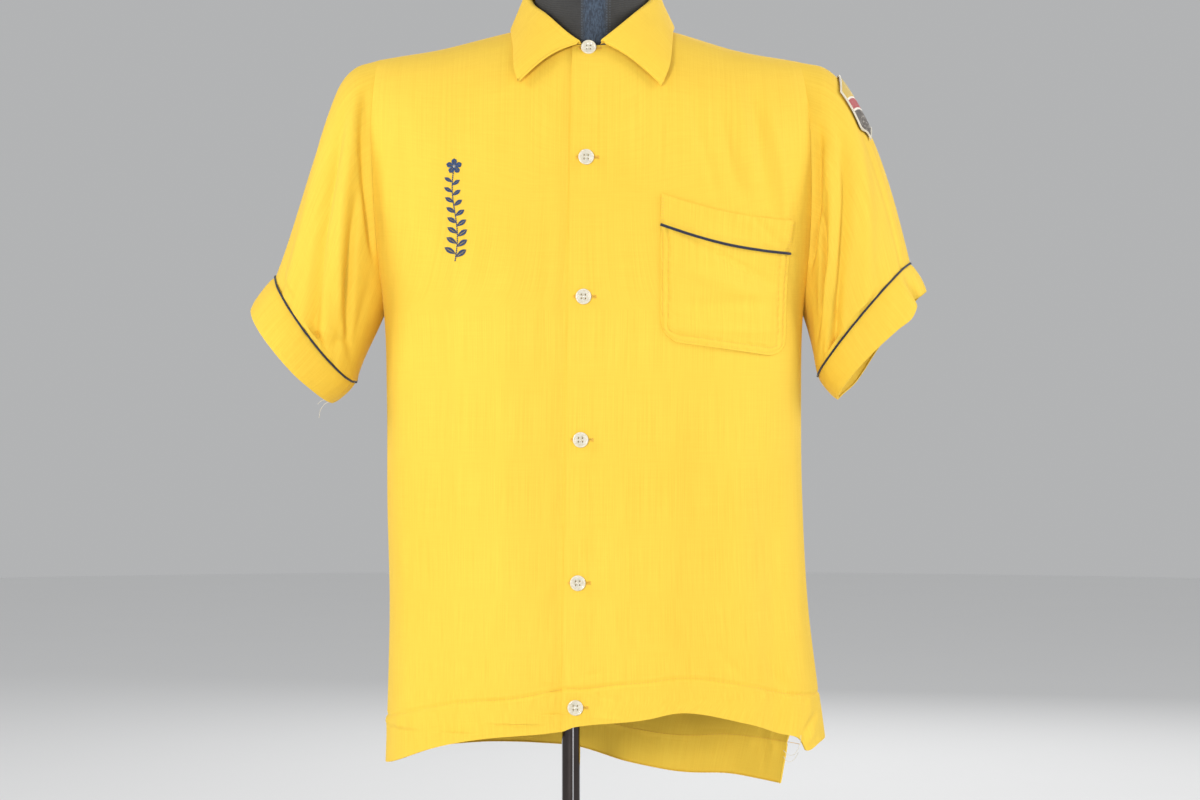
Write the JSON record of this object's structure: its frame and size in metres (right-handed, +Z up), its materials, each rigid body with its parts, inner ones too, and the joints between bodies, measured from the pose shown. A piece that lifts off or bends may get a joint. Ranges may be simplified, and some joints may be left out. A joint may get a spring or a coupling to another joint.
{
  "type": "bowling shirt on a dress form",
  "caption": "Boxy short-sleeved bowling shirt with contrast piping, buttoned on a limbless dress form that stands on a round base.",
  "frame": {"origin": "centre of the base's underside, on the axis of the pole", "axes": "+Z up along the pole, -Y the way the shirt faces, +X the wearer's left"},
  "size_m": [0.6736, 0.31, 1.132],
  "materials": {
    "yellow_cloth": "plain-woven cotton blend, matte with a faint sheen",
    "navy_piping": "corded bias piping, matte",
    "cream_button": "polished, pearly",
    "patch_twill": "embroidered twill patch with an overlocked border",
    "black_cover": "knit cover, matte",
    "chrome": "polished"
  },
  "bodies": {
    "root": {"front_right": "yellow_cloth", "front_left": "yellow_cloth", "back": "yellow_cloth", "sleeve_right": "yellow_cloth", "sleeve_left": "yellow_cloth", "cuff_right": "yellow_cloth", "cuff_left": "yellow_cloth", "collar": "yellow_cloth", "pocket": "yellow_cloth", "pocket_band": "yellow_cloth", "piping_right": "navy_piping", "piping_left": "navy_piping", "pocket_piping": "navy_piping", "button_1": "cream_button", "button_2": "cream_button", "button_3": "cream_button", "button_4": "cream_button", "button_5": "cream_button", "button_6": "cream_button", "sleeve_patch": "patch_twill", "form_torso": "black_cover", "pole": "chrome", "base": "chrome"}
  },
  "joints": []
}
